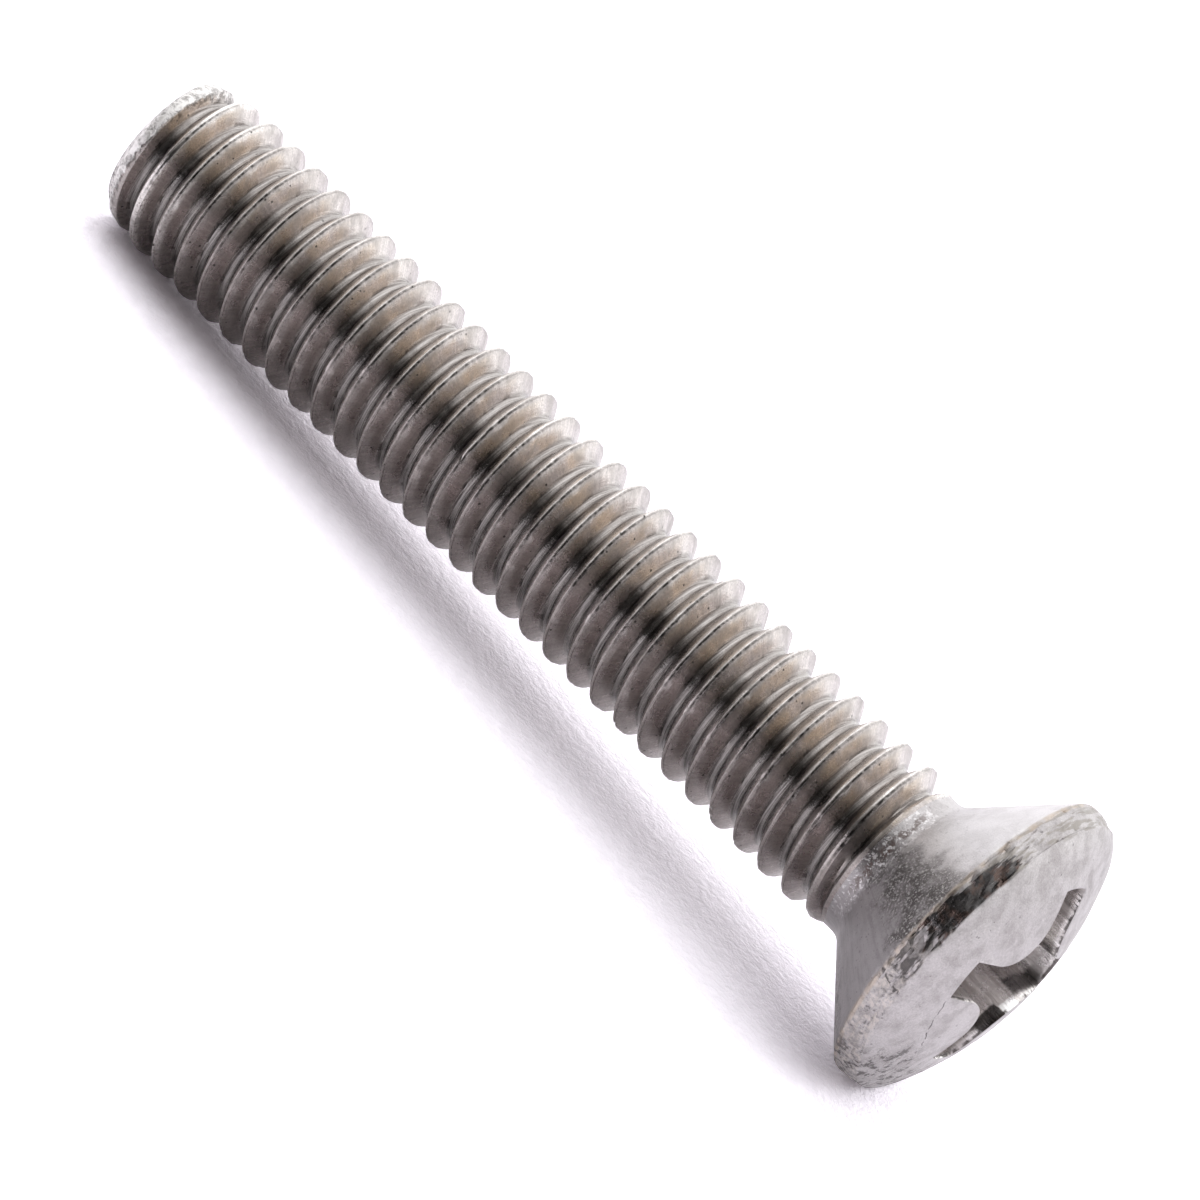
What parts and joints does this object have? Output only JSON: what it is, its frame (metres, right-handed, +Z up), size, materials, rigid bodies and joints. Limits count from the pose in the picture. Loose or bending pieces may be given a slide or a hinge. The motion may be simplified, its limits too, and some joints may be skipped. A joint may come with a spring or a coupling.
{
  "type": "raised countersunk machine screw",
  "caption": "Small steel machine screw with a full-length fine thread, a 90 degree countersunk head with a low domed top and a cross recess, lying on its side.",
  "frame": {"origin": "on the floor under the middle of the lying screw's box", "axes": "+X along the floor from the threaded tail towards the head, +Z up from the floor that the screw lies on, +Y across the screw. The screw's own axis leans up from +X by 4.25 degrees towards the head, because the screw lies on the head's rim and on a thread crest near the tail"},
  "size_m": [0.0256, 0.0072, 0.0073],
  "materials": {
    "steel": "plain stainless steel, worn semi-bright, with grime in the thread's roots"
  },
  "bodies": {
    "root": {"screw": "steel"}
  },
  "joints": []
}
